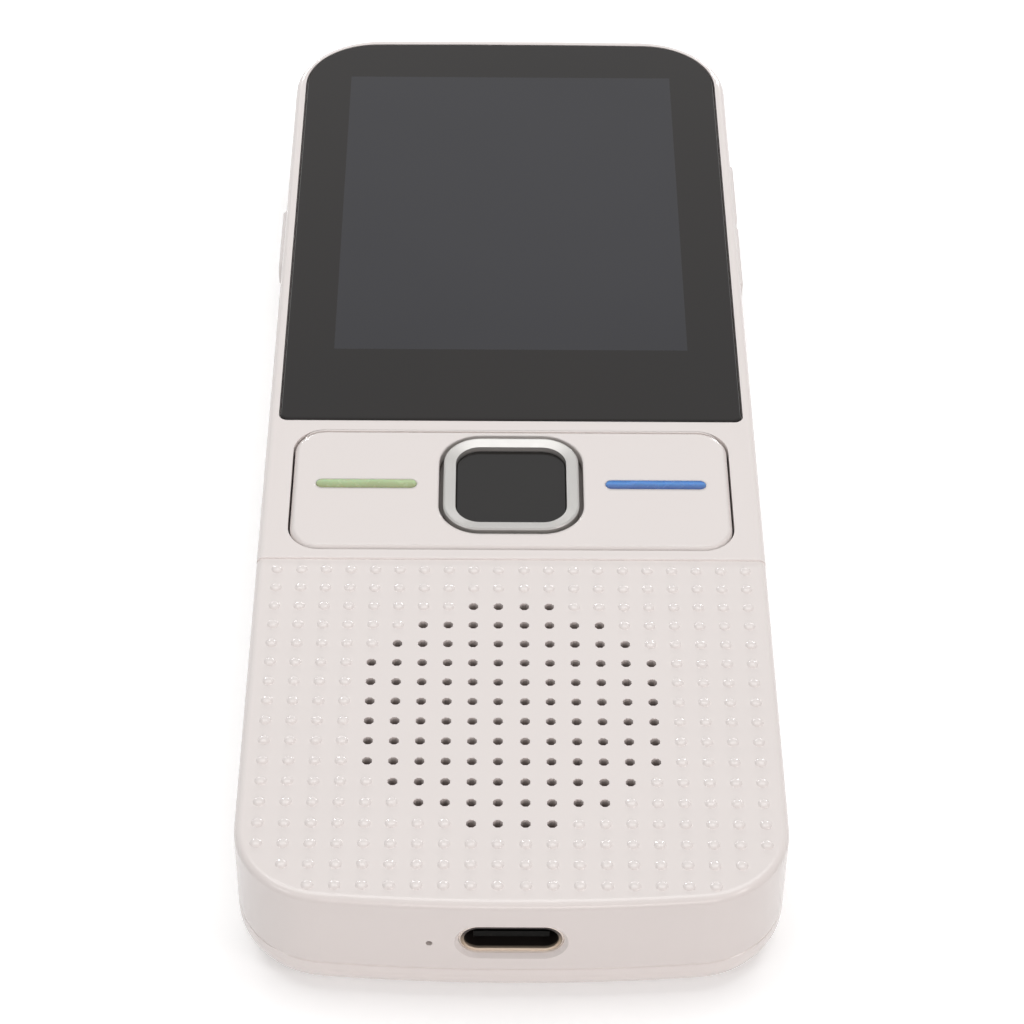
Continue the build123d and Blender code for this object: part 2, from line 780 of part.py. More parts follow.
# ---------------------------------------------------------------- centre button
cap_size = button_size - 2 * bezel_width
cap_radius = button_radius - bezel_width
slope_inset = bezel_chamfer + bezel_land
slope_size = button_size - 2 * slope_inset
with BuildPart() as button_bezel:
    with BuildSketch(Plane.XY.offset(carrier_level)):
        with Locations((0, button_y)):
            RectangleRounded(button_size, button_size, button_radius)
            RectangleRounded(cap_size, cap_size, cap_radius, mode=Mode.SUBTRACT)
    extrude(amount=bezel_height)
    top_face = button_bezel.faces().sort_by(Axis.Z)[-1]
    chamfer(top_face.outer_wire().edges(), bezel_chamfer)
    # The face of the bezel slopes in towards the cap.
    with BuildSketch(Plane.XY.offset(bezel_level)):
        with Locations((0, button_y)):
            RectangleRounded(slope_size, slope_size, button_radius - slope_inset)
    with BuildSketch(Plane.XY.offset(bezel_level - bezel_slope_depth)):
        with Locations((0, button_y)):
            RectangleRounded(cap_size, cap_size, cap_radius)
    loft(ruled=True, mode=Mode.SUBTRACT)
write(button_bezel, "button_bezel")

with BuildPart() as button_cap:
    with BuildSketch(Plane.XY.offset(carrier_level)):
        with Locations((0, button_y)):
            RectangleRounded(cap_size - 2 * cap_clearance, cap_size - 2 * cap_clearance,
                             cap_radius - cap_clearance)
    extrude(amount=bezel_height - cap_recess)
    chamfer(button_cap.faces().sort_by(Axis.Z)[-1].edges(), cap_chamfer)
write(button_cap, "button_cap")

with BuildPart() as button_carrier:
    with BuildSketch(Plane.XY.offset(carrier_base_level)):
        with Locations((0, button_y)):
            RectangleRounded(button_size, button_size, button_radius)
    extrude(amount=carrier_level - carrier_base_level)
    with BuildSketch(Plane.XY.offset(carrier_base_level)):
        with Locations((0, button_y)):
            Rectangle(opening_size + 2 * carrier_tab, carrier_tab_length)
    extrude(amount=carrier_tab_thickness)
    with BuildSketch(Plane.XY.offset(carrier_base_level)):
        with Locations((0, button_y)):
            RectangleRounded(button_size - 2 * carrier_rim, button_size - 2 * carrier_rim,
                             button_radius - carrier_rim)
    extrude(amount=carrier_pocket, mode=Mode.SUBTRACT)
    with BuildSketch(Plane.XY.offset(plunger_level)):
        with Locations((0, button_y)):
            small_round(stem_radius)
    extrude(amount=carrier_base_level + carrier_pocket - plunger_level)
write(button_carrier, "button_carrier")

# ---------------------------------------------------------------- side keys
with BuildPart() as power_button:
    with BuildSketch(side_plane(-1, power_y).offset(side_key_proud)):
        RectangleRounded(power_length, side_key_height, side_key_radius)
    extrude(amount=-(side_key_proud + wall + power_flange_gap))
    chamfer(power_button.faces().sort_by(Axis.X)[0].edges(), side_key_edge)
    with BuildSketch(side_plane(-1, power_y).offset(-wall - power_flange_gap)):
        Rectangle(power_length + 2 * power_flange_reach, power_flange_height)
    extrude(amount=-power_flange)
    with BuildSketch(side_plane(-1, power_y).offset(-wall - power_flange_gap - power_flange)):
        Rectangle(actuator_size, actuator_size)
    extrude(amount=-nub_height)
write(power_button, "power_button")

rocker_half = rocker_length / 2
rocker_base_level = side_key_level - side_key_height / 2
with BuildPart() as volume_rocker:
    with BuildSketch(Plane(origin=(0, rocker_y, rocker_base_level))):
        with BuildLine():
            Polyline((rocker_inner_x, -rocker_half),
                     (side_key_face_x - rocker_end_slope, -rocker_half),
                     (side_key_face_x, -rocker_half + rocker_end_slope),
                     (side_key_face_x, -rocker_notch_width / 2),
                     (side_key_face_x - rocker_notch_depth, 0),
                     (side_key_face_x, rocker_notch_width / 2),
                     (side_key_face_x, rocker_half - rocker_end_slope),
                     (side_key_face_x - rocker_end_slope, rocker_half),
                     (rocker_inner_x, rocker_half),
                     close=True)
        make_face()
    extrude(amount=side_key_height)
    rocker_slope_x = side_key_face_x - rocker_end_slope
    cap_edges = volume_rocker.faces().filter_by(Axis.Z).edges()
    chamfer(cap_edges.filter_by_position(Axis.X, rocker_slope_x, side_key_face_x), side_key_edge)
    with BuildSketch(Plane.XY.offset(rocker_base_level)):
        with Locations((pin_x, rocker_y)):
            Circle(rocker_hub_radius)
    extrude(amount=side_key_height)
    with BuildSketch(Plane.XY.offset(rocker_base_level)):
        with Locations((pin_x, rocker_y)):
            Circle(pin_radius + pin_clearance)
    extrude(amount=side_key_height, mode=Mode.SUBTRACT)
    # Nubs that press the two switches.
    with BuildSketch(Plane.YZ.offset(actuator_x + rocker_nub_gap)):
        with Locations(*[(rocker_y + side * rocker_key_offset, switch_level) for side in (-1, 1)]):
            Rectangle(actuator_size, actuator_size)
    extrude(amount=rocker_inner_x - actuator_x - rocker_nub_gap)
write(volume_rocker, "volume_rocker")

with BuildPart() as rocker_pin:
    with BuildSketch(Plane.XY.offset(parting_level)):
        with Locations((pin_x, rocker_y)):
            Circle(pin_radius)
    extrude(amount=pin_length)
write(rocker_pin, "rocker_pin")

# ---------------------------------------------------------------- boards and their screws
main_board_outline = board_outline()
with BuildPart() as main_board:
    with BuildSketch(Plane.XY.offset(board_bottom_level)):
        add(main_board_outline)
        with Locations(*board_boss_spots):
            small_round(screw_radius + screw_clearance, mode=Mode.SUBTRACT)
    extrude(amount=board_thickness)
write(main_board, "main_board")

with BuildPart() as port_board:
    with BuildSketch(Plane.XY.offset(port_board_level - board_thickness)):
        with Locations((0, port_board_front_y)):
            Rectangle(port_board_width, port_board_length, align=(Align.CENTER, Align.MIN))
        with Locations(*port_boss_spots):
            small_round(screw_radius + screw_clearance, mode=Mode.SUBTRACT)
    extrude(amount=board_thickness)
write(port_board, "port_board")

with BuildPart() as board_screws:
    for spots, top_level in ((board_boss_spots, board_level), (port_boss_spots, port_board_level)):
        with BuildSketch(Plane.XY.offset(top_level - board_thickness)):
            with Locations(*spots):
                small_round(screw_radius)
        extrude(amount=board_thickness + screw_length - screw_clearance)
        with BuildSketch(Plane.XY.offset(top_level - board_thickness)):
            with Locations(*spots):
                small_round(screw_head_radius)
        extrude(amount=-screw_head_height)
write(board_screws, "board_screws")

# ---------------------------------------------------------------- charging port
with BuildPart() as usb_shell:
    with BuildSketch(end_plane.offset(-usb_setback)):
        SlotOverall(usb_width, usb_height)
    extrude(amount=-usb_length)
    with BuildSketch(end_plane.offset(-usb_setback)):
        SlotOverall(usb_width - 2 * usb_wall, usb_height - 2 * usb_wall)
    extrude(amount=-(usb_length - usb_wall), mode=Mode.SUBTRACT)
write(usb_shell, "usb_shell")

tongue_base = usb_length - usb_wall - tongue_length - tongue_setback
with BuildPart() as usb_tongue:
    with BuildSketch(end_plane.offset(-usb_setback - usb_length + usb_wall)):
        SlotOverall(usb_width - 2 * usb_wall - 2 * press_gap, usb_height - 2 * usb_wall - 2 * press_gap)
    extrude(amount=tongue_base)
    with BuildSketch(end_plane.offset(-usb_setback - usb_length + usb_wall + tongue_base)):
        Rectangle(tongue_width, tongue_thickness)
    extrude(amount=tongue_length)
write(usb_tongue, "usb_tongue")

with BuildPart() as microphone:
    with BuildSketch(Plane.XY.offset(port_board_level)):
        with Locations((mic_x, port_board_front_y)):
            Rectangle(mic_width, mic_depth, align=(Align.CENTER, Align.MIN))
    extrude(amount=mic_height)
write(microphone, "microphone")

# The boot seals the microphone to the hole in the end wall, whose inner face it follows.
mic_middle_y = port_board_front_y + mic_depth / 2
with BuildPart() as microphone_boot:
    with BuildSketch(Plane.XY.offset(port_board_level)):
        with Locations((mic_x, mic_middle_y + mic_depth / 2 + boot_wall)):
            Rectangle(mic_width + 2 * boot_wall, port_board_length, align=(Align.CENTER, Align.MAX))
        add(housing_inset(wall), mode=Mode.INTERSECT)
    extrude(amount=mic_level + mic_hole_diameter / 2 + boot_wall - port_board_level)
    with BuildSketch(Plane.XY.offset(port_board_level)):
        with Locations((mic_x, port_board_front_y)):
            Rectangle(mic_width, mic_depth, align=(Align.CENTER, Align.MIN))
    extrude(amount=mic_height, mode=Mode.SUBTRACT)
    with BuildSketch(end_plane.offset(-wall)):
        with Locations((mic_x, -mic_drop)):
            small_round(mic_hole_diameter / 2)
    extrude(amount=-(mic_middle_y + inner_y), mode=Mode.SUBTRACT)
write(microphone_boot, "microphone_boot")

# ---------------------------------------------------------------- speaker
mesh_radius = seat_radius - lip_clearance
with BuildPart() as grille_mesh:
    with BuildSketch(Plane.XY.offset(mesh_level)):
        with Locations((0, grille_y)):
            speaker_round(mesh_radius)
    extrude(amount=mesh_thickness)
write(grille_mesh, "grille_mesh")

with BuildPart() as speaker_gasket:
    with BuildSketch(Plane.XY.offset(gasket_level)):
        with Locations((0, grille_y)):
            speaker_round(mesh_radius)
            speaker_round(mesh_radius - gasket_width, mode=Mode.SUBTRACT)
    extrude(amount=gasket_thickness)
write(speaker_gasket, "speaker_gasket")

frame_floor_level = gasket_level - speaker_rim
with BuildPart() as speaker_frame:
    with BuildSketch(Plane.XY.offset(frame_floor_level)):
        with Locations((0, grille_y)):
            speaker_round(speaker_radius)
            speaker_round(coil_hole_radius, mode=Mode.SUBTRACT)
    extrude(amount=speaker_rim)
    with BuildSketch(Plane.XY.offset(frame_floor_level + basket_thickness)):
        with Locations((0, grille_y)):
            speaker_round(speaker_radius - speaker_rim_width)
    extrude(amount=speaker_rim - basket_thickness, mode=Mode.SUBTRACT)
write(speaker_frame, "speaker_frame")

with BuildPart() as speaker_magnet:
    with BuildSketch(Plane.XY.offset(magnet_level)):
        with Locations((0, grille_y)):
            speaker_round(magnet_radius)
    extrude(amount=frame_floor_level - magnet_level)
write(speaker_magnet, "speaker_magnet")

with BuildPart() as speaker_diaphragm:
    with BuildSketch(Plane.XY.offset(frame_floor_level + basket_thickness)):
        with Locations((0, grille_y)):
            speaker_round(speaker_radius - speaker_rim_width - press_gap)
    extrude(amount=diaphragm_thickness)
write(speaker_diaphragm, "speaker_diaphragm")

with BuildPart() as speaker_pad:
    with BuildSketch(Plane.XY.offset(pad_level)):
        with Locations((0, grille_y)):
            speaker_round(pad_radius)
    extrude(amount=pad_thickness)
write(speaker_pad, "speaker_pad")

# ---------------------------------------------------------------- battery
with BuildPart() as battery:
    with BuildSketch(Plane.XY.offset(battery_level)):
        with Locations((0, battery_y)):
            RectangleRounded(battery_width, battery_length, battery_radius)
    extrude(amount=battery_thickness)
write(battery, "battery")

with BuildPart() as battery_pad:
    with BuildSketch(Plane.XY.offset(board_bottom_level - battery_tape)):
        with Locations((0, battery_y)):
            Rectangle(battery_width - 2 * battery_pad_inset, battery_length - 2 * battery_pad_inset)
    extrude(amount=battery_tape)
write(battery_pad, "battery_pad")

with BuildPart() as battery_plug:
    with BuildSketch(Plane.XY.offset(board_bottom_level)):
        with Locations((battery_plug_x, battery_plug_y)):
            Rectangle(battery_plug_width, connector_depth)
    extrude(amount=-battery_plug_height)
write(battery_plug, "battery_plug")

# ---------------------------------------------------------------- board components
with BuildPart() as shield_can:
    with BuildSketch(Plane.XY.offset(board_bottom_level)):
        with Locations((0, can_y)):
            Rectangle(can_width, can_length)
    extrude(amount=-can_height)
    with BuildSketch(Plane.XY.offset(board_bottom_level)):
        with Locations((0, can_y)):
            Rectangle(can_width - 2 * can_wall, can_length - 2 * can_wall)
    extrude(amount=-(can_height - can_wall), mode=Mode.SUBTRACT)
write(shield_can, "shield_can")

for chip_name, chip_x, chip_width, chip_length in (
        ("processor", -chip_spacing / 2, chip_size, chip_size),
        ("memory_chip", chip_spacing / 2 + connector_depth, memory_width, memory_length)):
    with BuildPart() as chip:
        with BuildSketch(Plane.XY.offset(board_bottom_level)):
            with Locations((chip_x, can_y)):
                Rectangle(chip_width, chip_length)
        extrude(amount=-chip_height)
    write(chip, chip_name)

for switch_name, side, switch_y in (
        ("power_switch", -1, power_y),
        ("volume_up_switch", 1, rocker_y + rocker_key_offset),
        ("volume_down_switch", 1, rocker_y - rocker_key_offset)):
    with BuildPart() as side_switch:
        with BuildSketch(Plane.XY.offset(board_bottom_level)):
            with Locations((side * (board_half_width - switch_depth / 2), switch_y)):
                Rectangle(switch_depth, switch_length)
        extrude(amount=-switch_height)
        with BuildSketch(Plane.YZ.offset(side * board_half_width)):
            with Locations((switch_y, switch_level)):
                Rectangle(actuator_size, actuator_size)
        extrude(amount=side * actuator_reach)
    write(side_switch, switch_name)

for dome_name, dome_x, spot_y in (
        ("left_key_dome", -bar_center_x, dome_y),
        ("centre_key_dome", 0, button_y),
        ("right_key_dome", bar_center_x, dome_y)):
    with BuildPart() as key_dome:
        with BuildSketch(Plane.XY.offset(board_level)):
            with Locations((dome_x, spot_y)):
                small_round(dome_radius)
        extrude(amount=dome_height, taper=dome_taper)
    write(key_dome, dome_name)

for led_name, led_x in (("green_led", -bar_center_x), ("blue_led", bar_center_x)):
    with BuildPart() as led:
        with BuildSketch(Plane.XY.offset(board_level)):
            with Locations((led_x, button_y)):
                Rectangle(led_length, led_width)
        extrude(amount=led_height)
    write(led, led_name)

# Flat cable between the two boards, and its two connectors.
port_link_y = port_board_front_y + port_board_length
main_link_y = board_bottom_y + connector_margin
with BuildPart() as link_flex:
    with BuildSketch(Plane.XY.offset(link_level)):
        with Locations((link_x, port_link_y - connector_depth / 2)):
            Rectangle(link_width, main_link_y - port_link_y + connector_depth,
                      align=(Align.CENTER, Align.MIN))
    extrude(amount=flex_thickness)
write(link_flex, "link_flex")

for connector_name, top_level, open_y, side in (
        ("port_link_connector", port_board_level - board_thickness, port_link_y, -1),
        ("main_link_connector", board_bottom_level, main_link_y, 1)):
    with BuildPart() as link_connector:
        with BuildSketch(Plane.XY.offset(top_level)):
            with Locations((link_x, open_y + side * connector_depth / 2)):
                Rectangle(link_width + 2 * connector_margin, connector_depth)
        extrude(amount=link_level - connector_margin / 2 - top_level)
        with BuildSketch(Plane.XY.offset(link_level - flex_thickness / 2)):
            with Locations((link_x, open_y)):
                Rectangle(link_width + connector_margin, connector_depth + connector_margin / 2)
        extrude(amount=2 * flex_thickness, mode=Mode.SUBTRACT)
    write(link_connector, connector_name)

with BuildPart() as antenna:
    with BuildSketch(Plane.XY.offset(back_wall)):
        with Locations((antenna_x, antenna_y)):
            Rectangle(antenna_width, antenna_length)
        with Locations((antenna_x + antenna_width / 2, antenna_y)):
            Rectangle(antenna_width - antenna_trace, antenna_slot,
                      align=(Align.MAX, Align.CENTER), mode=Mode.SUBTRACT)
    extrude(amount=antenna_thickness)
write(antenna, "antenna")
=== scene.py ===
import math

import bmesh
import bpy
from mathutils import Matrix, Vector


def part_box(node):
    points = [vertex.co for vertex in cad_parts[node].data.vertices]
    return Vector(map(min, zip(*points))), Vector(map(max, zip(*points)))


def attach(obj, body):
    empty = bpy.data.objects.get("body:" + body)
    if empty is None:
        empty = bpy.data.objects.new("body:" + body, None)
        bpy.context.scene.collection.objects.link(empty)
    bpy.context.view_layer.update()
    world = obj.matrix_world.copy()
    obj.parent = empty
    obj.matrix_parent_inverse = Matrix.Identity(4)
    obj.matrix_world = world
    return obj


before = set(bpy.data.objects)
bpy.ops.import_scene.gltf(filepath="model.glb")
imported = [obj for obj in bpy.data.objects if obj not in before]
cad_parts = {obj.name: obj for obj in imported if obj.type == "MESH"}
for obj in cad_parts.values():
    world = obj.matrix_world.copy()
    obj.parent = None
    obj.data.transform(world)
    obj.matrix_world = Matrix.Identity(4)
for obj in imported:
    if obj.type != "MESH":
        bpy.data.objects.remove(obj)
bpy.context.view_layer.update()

MM = 0.001

# ---------------------------------------------------------------- sizes and places
# Grille and textured field. Rows are counted downwards from the first row of sound holes.
FIELD_LEVEL = 12.6 * MM
GRILLE_Y = -42.55 * MM
COLUMN_PITCH = 2.364 * MM
ROW_PITCH = 2.482 * MM
MIDDLE_GAP_EXTRA = 0.1 * MM                # the two middle columns stand this much further apart
HOLE_ROWS = (4, 8, 10, 12, 12, 12, 12, 12, 12, 10, 8, 4)
FIELD_COLUMNS = 20
ROWS_ABOVE_GRILLE = 2
LOW_ROW_COLUMNS = (20, 18, 16)             # the rows below the grille follow the rounded end
LOW_ROW_RISE = 0.115 * MM                  # and each sits this much closer to the one above

DOT_RADIUS = 0.58 * MM
DOT_HEIGHT = 0.23 * MM
DOT_SIDES = 16
DOT_RINGS = 4
DOT_ROOT = 0.02 * MM                       # how deep a dot's foot stands in the field
DOT_TAPER = 0.45                           # how fast a dot narrows with height,
DOT_BELLY = 0.35                           # and how much more towards its top
DOT_CURVE = 1.2

# Sound holes: where their painted shade starts and ends, and the square that holds them.
HOLE_SHADE_TOP = FIELD_LEVEL - 0.12 * MM
HOLE_SHADE_BOTTOM = FIELD_LEVEL - 0.85 * MM
HOLE_SHADE_SHARE = 0.6
GRILLE_HALF_WIDTH = (14.6 * MM, 15.2 * MM)
GRILLE_HALF_HEIGHT = (14.4 * MM, 15.0 * MM)

# Display window under the glass
WINDOW_HALF = (18.36 * MM, 24.48 * MM)
WINDOW_Y = 33.25 * MM
WINDOW_SOFTNESS = 0.04 * MM

# Lip in the gap along the key plate's upper edge
PLATE_CORNER = 3.0 * MM
PIVOT_REACH = 1.1 * MM                     # the plate's pivots stand this far past its edges
PLATE_GAP = 0.2 * MM
LIP_DEPTH = 1.2 * MM
LIP_SINK = 0.11 * MM
LIP_CLEARANCE = 0.035 * MM                 # to the front shell
LIP_THINNING = 0.125 * MM                  # at its ends
LIP_END_HEIGHT = 0.04                      # share of its full height
LIP_RISE = 1.15                            # how soon it reaches its full height
LIP_CURVE = 1.5
LIP_TURN = 6                               # degrees from one section to the next

# Ring in the gap round the port's metal shell
PORT_GAP = 0.18 * MM
PORT_RING_LEAD = 0.1 * MM                  # it stands this far in front of the metal
PORT_RING_DEPTH = 0.8 * MM
PORT_RING_TURN = 10
PORT_PAINTED_SHADE_DEPTHS = (0.02 * MM, 0.34 * MM)   # painted shade: the plated shell turns black between these depths

SNUG = 0.01 * MM                           # play between a filler and the piece next to it

# Tabs of the centre button's carrier
GUIDE_SIZE = (1.1 * MM, 1.9 * MM, 0.7 * MM)
GUIDE_X = 7.32 * MM
GUIDE_Y = -7.55 * MM
GUIDE_SINK = 0.85 * MM
GUIDE_ROUNDING = 0.12 * MM

BAR_HALF = 0.6 * MM                        # half width of a light bar

# How moulded plastic varies: sizes in millimetres and how much
DRIFT_MM = 14.0
SPECK_SHARE = 0.25
GLOSS_MM = 3.5
GLOSS_DRIFT = 0.02
WORN_EDGE = (0.52, 0.60)                   # pointedness where the wear starts and is full
WEAR_SHARE = 0.35

FLOOR_HALF = 3.0
FLOOR_GLOW = 0.30
WORLD_LIGHT = 0.2                          # the backdrop is white, but lights the object less

# ---------------------------------------------------------------- camera
# Solved from the photograph's dot grid and outline.
CAMERA_PLACE = (-1.98 * MM, -236.34 * MM, 217.96 * MM)
CAMERA_FORWARD = (0.00684, 0.73201, -0.68126)
CAMERA_DOWN = (0.00529, -0.6813, -0.73199)
CAMERA_SENSOR = 36.0
CAMERA_LENS = 107.939
CAMERA_CLIP = (0.01, 20.0)


def make_camera():
    data = bpy.data.cameras.new("camera")
    cam = bpy.data.objects.new("camera", data)
    bpy.context.scene.collection.objects.link(cam)
    forward = Vector(CAMERA_FORWARD).normalized()
    down = Vector(CAMERA_DOWN).normalized()
    right = down.cross(forward).normalized()
    up = right.cross(forward)
    cam.matrix_world = Matrix((
        (right.x, up.x, -forward.x, CAMERA_PLACE[0]),
        (right.y, up.y, -forward.y, CAMERA_PLACE[1]),
        (right.z, up.z, -forward.z, CAMERA_PLACE[2]),
        (0, 0, 0, 1)))
    data.sensor_width = CAMERA_SENSOR
    data.lens = CAMERA_LENS
    data.clip_start, data.clip_end = CAMERA_CLIP
    bpy.context.scene.camera = cam


make_camera()


# ---------------------------------------------------------------- node helpers
class Tree:
    """Short way to build the nodes of a material or a world."""

    def __init__(self, owner, output):
        owner.use_nodes = True
        self.nt = owner.node_tree
        self.nt.nodes.clear()
        self.out = self.add(output)

    def add(self, kind, **values):
        n = self.nt.nodes.new(kind)
        for k, v in values.items():
            setattr(n, k, v)
        return n

    def feed(self, socket, value):
        """Links an output to a socket, or sets a plain number or colour on it."""
        if isinstance(value, bpy.types.NodeSocket):
            self.nt.links.new(value, socket)
        elif isinstance(value, tuple):
            socket.default_value = (*value, 1.0)
        else:
            socket.default_value = value

    def math(self, op, a, b=0.0):
        m = self.add("ShaderNodeMath", operation=op)
        self.feed(m.inputs[0], a)
        self.feed(m.inputs[1], b)
        return m.outputs[0]

    def remap(self, value, low, high, to_low, to_high):
        m = self.add("ShaderNodeMapRange")
        self.feed(m.inputs["Value"], value)
        self.feed(m.inputs["From Min"], low)
        self.feed(m.inputs["From Max"], high)
        self.feed(m.inputs["To Min"], to_low)
        self.feed(m.inputs["To Max"], to_high)
        return m.outputs["Result"]

    def backdrop_ray(self):
        """1 for what the camera sees, straight or mirrored, and 0 for light on the object."""
        path = self.add("ShaderNodeLightPath")
        mirrored = self.math("MAXIMUM", path.outputs["Is Glossy Ray"],
                             path.outputs["Is Transmission Ray"])
        return self.math("MAXIMUM", path.outputs["Is Camera Ray"], mirrored)


class Material(Tree):
    """Nodes of a material, in the piece's own coordinates."""

    def __init__(self, name):
        self.mat = bpy.data.materials.new(name)
        super().__init__(self.mat, "ShaderNodeOutputMaterial")
        self.coord = self.add("ShaderNodeTexCoord").outputs["Object"]

    def noise(self, size_mm, detail=2.0, rough=0.5, stretch=(1, 1, 1)):
        """Noise whose features are about size_mm across."""
        m = self.add("ShaderNodeMapping")
        self.feed(m.inputs["Vector"], self.coord)
        m.inputs["Scale"].default_value = stretch
        n = self.add("ShaderNodeTexNoise")
        self.feed(n.inputs["Vector"], m.outputs["Vector"])
        self.feed(n.inputs["Scale"], 1000.0 / size_mm)
        self.feed(n.inputs["Detail"], detail)
        self.feed(n.inputs["Roughness"], rough)
        return n.outputs["Fac"]

    def spread(self, noise, to_low, to_high, tail=0.3):
        """Stretches a noise between two values, without its rare extremes."""
        return self.remap(noise, tail, 1 - tail, to_low, to_high)

    def axis(self, letter):
        """One coordinate of the piece, in metres."""
        parts = self.add("ShaderNodeSeparateXYZ")
        self.feed(parts.inputs[0], self.coord)
        return parts.outputs[letter]

    def distance(self, letter, middle=0.0):
        """Distance from a place along one axis."""
        place = self.axis(letter)
        if middle:
            place = self.math("SUBTRACT", place, middle)
        return self.math("ABSOLUTE", place)

    def ramp(self, value, stops):
        """Colours by place, from (place, colour) pairs."""
        r = self.add("ShaderNodeValToRGB")
        self.feed(r.inputs["Fac"], value)
        marks = r.color_ramp.elements
        while len(marks) < len(stops):
            marks.new(0.5)
        for mark, (place, color) in zip(marks, stops):
            mark.position = place
            mark.color = (*color, 1.0)
        return r.outputs["Color"]

    def mix(self, share, a, b):
        m = self.add("ShaderNodeMix", data_type="RGBA")
        self.feed(m.inputs["Factor"], share)
        self.feed(m.inputs["A"], a)
        self.feed(m.inputs["B"], b)
        return m.outputs["Result"]

    def rounded(self, radius_mm):
        """Normals as if the edges were rounded."""
        b = self.add("ShaderNodeBevel", samples=6)
        self.feed(b.inputs["Radius"], radius_mm * MM)
        return b.outputs[0]

    def bump(self, height, depth_mm, strength=1.0, before=None):
        b = self.add("ShaderNodeBump")
        self.feed(b.inputs["Strength"], strength)
        self.feed(b.inputs["Distance"], depth_mm * MM)
        self.feed(b.inputs["Height"], height)
        if before is not None:
            self.feed(b.inputs["Normal"], before)
        return b.outputs["Normal"]

    def shader(self, color, roughness, normal=None, **plain):
        """Surface shader; plain holds further sockets by name, with _ for a space."""
        s = self.add("ShaderNodeBsdfPrincipled")
        self.feed(s.inputs["Base Color"], color)
        self.feed(s.inputs["Roughness"], roughness)
        if normal is not None:
            self.feed(s.inputs["Normal"], normal)
        for name, value in plain.items():
            self.feed(s.inputs[name.replace("_", " ")], value)
        self.feed(self.out.inputs["Surface"], s.outputs[0])
        return s


def srgb(*levels):
    """Linear colour from 0 to 255 display values."""
    return tuple((c / 255 / 12.92) if c <= 10 else ((c / 255 + 0.055) / 1.055) ** 2.4
                 for c in levels)


def scaled(color, k):
    return tuple(c * k for c in color)


# ---------------------------------------------------------------- kinds of material
def moulded(name, color, roughness=0.4, grain_mm=0.12, depth_mm=0.004, tone=0.03, painted_shade=None,
            soft_mm=0.0, **plain):
    """Moulded plastic: slow drift of colour, fine grain, worn edges and a little uneven gloss."""
    t = Material(name)
    drift = t.spread(t.noise(DRIFT_MM, detail=1.0), 0.0, 1.0, tail=0.2)
    base = t.mix(drift, scaled(color, 1 - tone), scaled(color, 1 + tone / 2))
    speck = t.spread(t.noise(grain_mm * 1.5), 0.0, 1.0, tail=0.35)
    base = t.mix(t.math("MULTIPLY", speck, SPECK_SHARE), base, scaled(color, 1 + tone))
    pointed = t.add("ShaderNodeNewGeometry").outputs["Pointiness"]
    wear = t.remap(pointed, *WORN_EDGE, 0.0, WEAR_SHARE)
    base = t.mix(wear, base, scaled(color, 1 + tone * 1.5))
    # painted shade, for a piece that asks for it
    if painted_shade:
        base = painted_shade(t, base)
    gloss = t.spread(t.noise(GLOSS_MM), roughness - GLOSS_DRIFT, roughness + GLOSS_DRIFT, tail=0.2)
    edges = t.rounded(soft_mm) if soft_mm else None
    t.shader(base, gloss, t.bump(t.noise(grain_mm), depth_mm, 0.5, edges), **plain)
    return t.mat


def metal(name, color, roughness=0.3, stretch=(1, 1, 1), depth_mm=0.002, tone=0.08, share=1.0,
          grain_mm=0.25):
    """Plated or painted metal with a fine grain; share is how much of it is bare metal."""
    t = Material(name)
    grain = t.noise(grain_mm, detail=3.0, stretch=stretch)
    patches = t.spread(t.noise(6.0, detail=3.0), 0.0, 1.0)
    base = t.mix(patches, scaled(color, 1 - tone), color)
    base = t.mix(t.spread(grain, 0.0, 0.4), base, scaled(color, 1 - tone / 2))
    gloss = t.spread(grain, roughness - 0.03, roughness + 0.05)
    t.shader(base, gloss, t.bump(grain, depth_mm, 0.4), Metallic=share)
    return t.mat


def painted_hole_shade(t, base):
    """Painted shade: the sound holes darken towards the mesh."""
    painted_depth_shade = t.remap(t.axis("Z"), HOLE_SHADE_BOTTOM, HOLE_SHADE_TOP, HOLE_SHADE_SHARE, 0.0)
    across = t.remap(t.distance("X"), *GRILLE_HALF_WIDTH, 1.0, 0.0)
    along = t.remap(t.distance("Y", GRILLE_Y), *GRILLE_HALF_HEIGHT, 1.0, 0.0)
    inside = t.math("MULTIPLY", across, along)
    return t.mix(t.math("MULTIPLY", painted_depth_shade, inside), base, srgb(112, 92, 85))


def port_metal():
    """Port shell: nickel-plated at the mouth, with painted light on its lower lip, painted shade
    along its upper side and painted shade that turns it black farther in.
    """
    t = Material("port_steel")
    low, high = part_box("usb_shell")
    # painted light on the lower lip, painted shade towards the upper side
    height = t.remap(t.axis("Z"), low.z, high.z, 0.0, 1.0)
    plating_with_painted_light = t.ramp(height, ((0.0, srgb(236, 219, 200)), (0.3, srgb(180, 162, 142)),
                              (0.7, srgb(84, 76, 72)), (1.0, srgb(60, 54, 56))))
    # painted shade: black farther into the port
    start, end = PORT_PAINTED_SHADE_DEPTHS
    painted_shade_farther_in = t.remap(t.axis("Y"), low.y + start, low.y + end, 0.0, 1.0)
    grain = t.noise(0.25, detail=4.0, rough=0.6, stretch=(1, 8, 1))
    t.shader(t.mix(painted_shade_farther_in, plating_with_painted_light, srgb(46, 41, 39)), t.spread(grain, 0.3, 0.42),
             t.bump(grain, 0.001, 0.4), Metallic=0.25, Specular_IOR_Level=0.2)
    return t.mat


